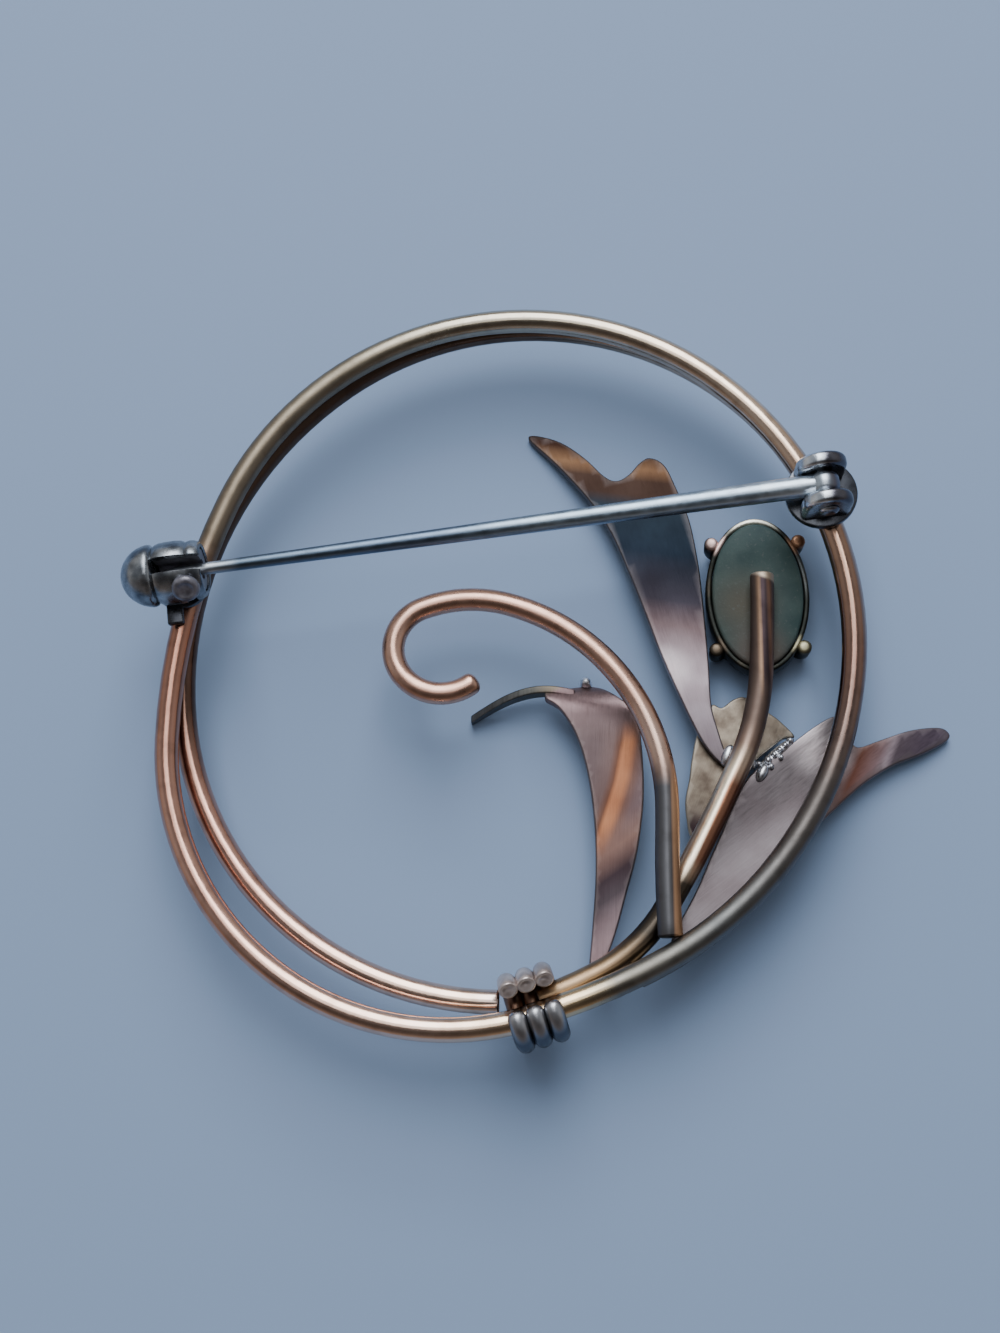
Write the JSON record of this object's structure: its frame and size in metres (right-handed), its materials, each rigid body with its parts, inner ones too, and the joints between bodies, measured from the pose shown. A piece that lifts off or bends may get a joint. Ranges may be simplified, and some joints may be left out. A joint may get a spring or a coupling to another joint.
{
  "type": "flower brooch",
  "caption": "Open wire ring brooch with a wrapped crossing, a scroll, sheet leaves round an oval cabochon, and a hinged pin in a safety catch.",
  "frame": {"origin": "centre of the brooch's outline, on the surface that it lies on face down", "axes": "+X along the brooch's width, from the catch towards the pin's hinge; +Y from the wrapped crossing towards the top of the ring; +Z away from the surface, out of the brooch's back"},
  "size_m": [0.0446, 0.041, 0.0092],
  "materials": {
    "ring_gold": "polished rose gold colour",
    "wrap_wire": "pale gold, worn",
    "leaf_sheet": "brushed, mauve tarnish",
    "pale_gold": "satin pale gold",
    "green_stone": "polished dark green",
    "dark_steel": "dark polished",
    "bright_steel": "polished"
  },
  "bodies": {
    "brooch": {"ring_back_loop": "ring_gold", "ring_front_loop": "ring_gold", "wire_wrap": "wrap_wire", "scroll_wire": "ring_gold", "flower_stem": "ring_gold", "leaf_centre": "leaf_sheet", "leaf_left": "leaf_sheet", "leaf_right": "leaf_sheet", "calyx": "pale_gold", "stone_setting": "pale_gold", "stone": "green_stone", "hinge_joint": "dark_steel", "hinge_rivet": "dark_steel", "catch_body": "dark_steel"},
    "pin": {"pin_stem": "bright_steel"},
    "rotor": {"catch_rotor": "dark_steel"}
  },
  "joints": [
    {"name": "pin_hinge", "type": "hinge", "parent": "brooch", "child": "pin", "pos_m": [0.01526, 0.00881, 0.007], "axis": [-0.1236, 0.9923, 0], "range_deg": [0, 100]},
    {"name": "catch_turn", "type": "hinge", "parent": "brooch", "child": "rotor", "pos_m": [-0.01858, 0.0046, 0.007], "axis": [0.9923, 0.1236, 0], "range_deg": [0, 55]}
  ]
}
